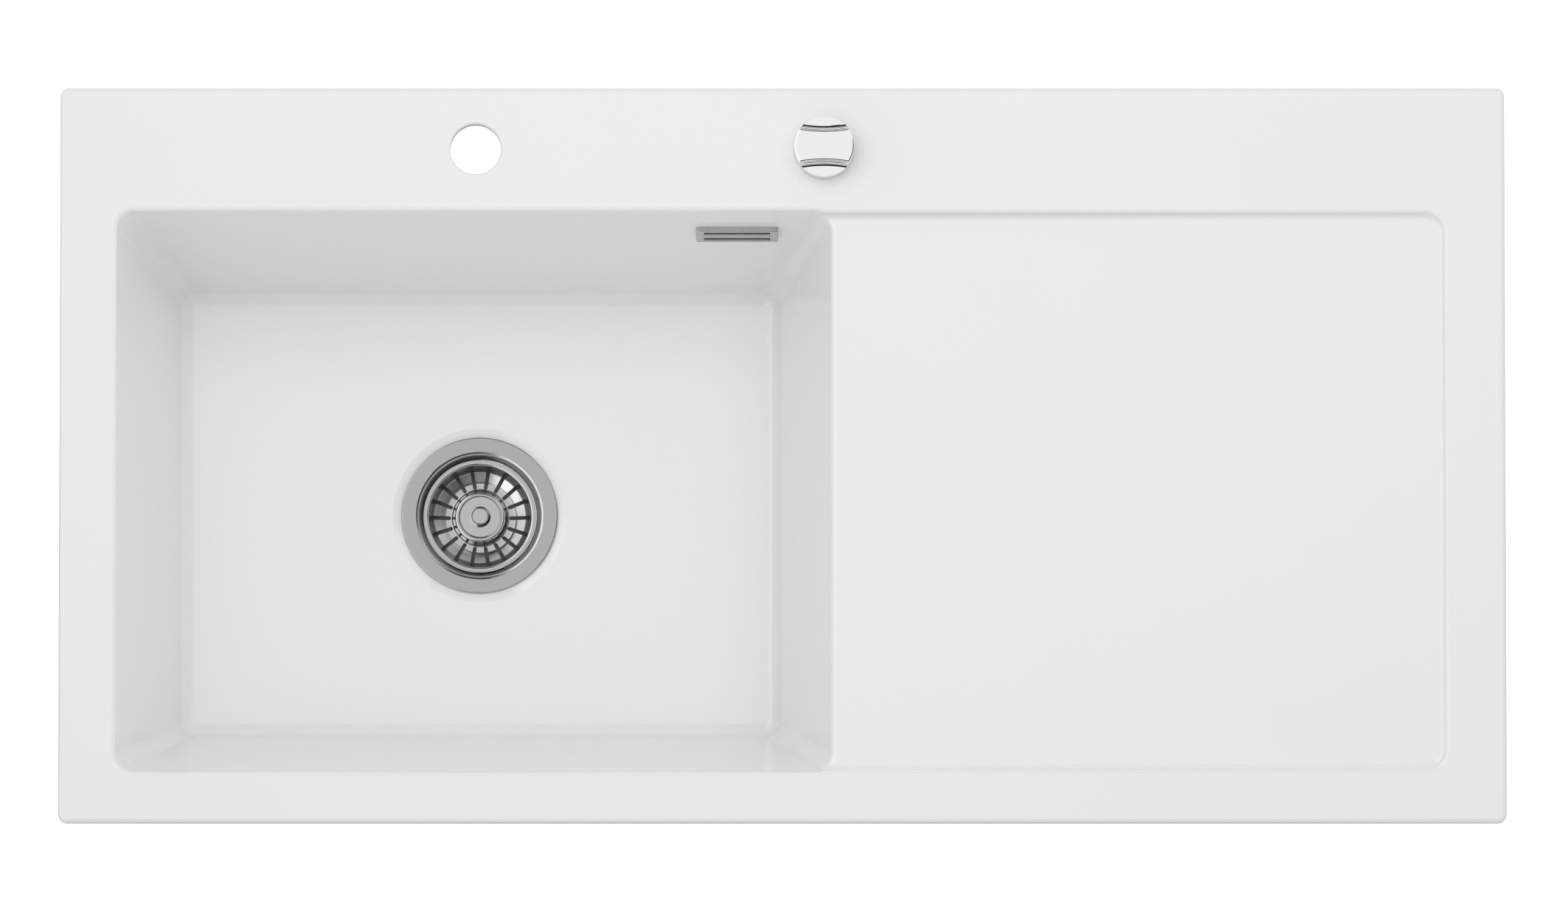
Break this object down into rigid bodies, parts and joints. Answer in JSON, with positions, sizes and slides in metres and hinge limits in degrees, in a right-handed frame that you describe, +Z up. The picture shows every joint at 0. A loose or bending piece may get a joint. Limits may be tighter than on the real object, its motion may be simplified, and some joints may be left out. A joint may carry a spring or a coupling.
{
  "type": "inset kitchen sink",
  "caption": "White ceramic inset sink with a bowl, a flush drainer, a tap hole, a basket-strainer waste that a deck knob opens by cable, and an overflow.",
  "frame": {"origin": "plan centre of the rim, on the plane of its underside, which lies on the worktop", "axes": "+X to the drainer, +Y to the rear ledge with the tap hole, +Z up"},
  "size_m": [1, 0.51, 0.336],
  "materials": {
    "ceramic": "gloss white glaze",
    "steel": "pressed and polished",
    "chrome": "chrome plated",
    "brass": "turned",
    "rubber": "moulded",
    "grey_plastic": "moulded",
    "black_plastic": "moulded"
  },
  "bodies": {
    "sink": {"sink_body": "ceramic", "strainer_flange": "steel", "overflow_cover": "steel", "clamp_bolt": "steel", "overflow_screws": "steel", "cover_screws": "steel", "flange_gasket": "rubber", "waste_gasket": "rubber", "lever_oring": "rubber", "overflow_gasket": "rubber", "upper_pipe_seal": "rubber", "lower_pipe_seal": "rubber", "knob_gasket": "rubber", "deck_washer": "rubber", "waste_body": "grey_plastic", "outlet_funnel": "grey_plastic", "overflow_elbow": "grey_plastic", "overflow_pipe": "grey_plastic", "overflow_insert": "grey_plastic", "lever_bush": "black_plastic", "upper_pipe_nut": "black_plastic", "lower_pipe_nut": "black_plastic", "control_bush": "black_plastic", "deck_nut": "black_plastic", "control_housing": "black_plastic", "control_cover": "black_plastic", "control_ferrule": "black_plastic", "waste_ferrule": "black_plastic", "cable_sleeve": "black_plastic"},
    "knob": {"control_knob": "chrome", "knob_screw": "steel", "knob_spindle": "brass"},
    "slider": {"cable_slider": "black_plastic"},
    "lever": {"lift_lever": "black_plastic", "crank_arm": "black_plastic", "crank_screw": "steel"},
    "cable_end": {"cable_nipple": "steel"},
    "pin": {"lift_pin": "steel"},
    "basket": {"strainer_basket": "steel", "basket_hub": "steel", "seal_carrier": "grey_plastic", "basket_seal": "rubber"}
  },
  "joints": [
    {"name": "knob_turn", "type": "hinge", "parent": "sink", "child": "knob", "pos_m": [0.029, 0.2125, 0], "axis": [0, 0, 1], "range_deg": [0, 90]},
    {"name": "slider_slide", "type": "slide", "parent": "sink", "child": "slider", "axis": [-1, 0, 0], "range_m": [0, 0.00984]},
    {"name": "cable_pull", "type": "slide", "parent": "sink", "child": "cable_end", "axis": [1, 0, 0], "range_m": [0, 0.00984]},
    {"name": "lever_swing", "type": "hinge", "parent": "sink", "child": "lever", "pos_m": [-0.2285, -0.0253, -0.246], "axis": [0, -1, 0], "range_deg": [0, 35.01]},
    {"name": "pin_lift", "type": "slide", "parent": "sink", "child": "pin", "axis": [0, 0, 1], "range_m": [0, 0.00978]},
    {"name": "basket_lift", "type": "slide", "parent": "pin", "child": "basket", "axis": [0, 0, 1], "range_m": [0, 0.25]}
  ],
  "couplings": [
    {"joint": "slider_slide", "follows": "knob_turn", "m_per_rad": 0.0062626},
    {"joint": "cable_pull", "follows": "knob_turn", "m_per_rad": 0.0062626},
    {"joint": "lever_swing", "follows": "knob_turn", "ratio": 0.38889},
    {"joint": "pin_lift", "follows": "knob_turn", "m_per_rad": 0.0062222}
  ]
}
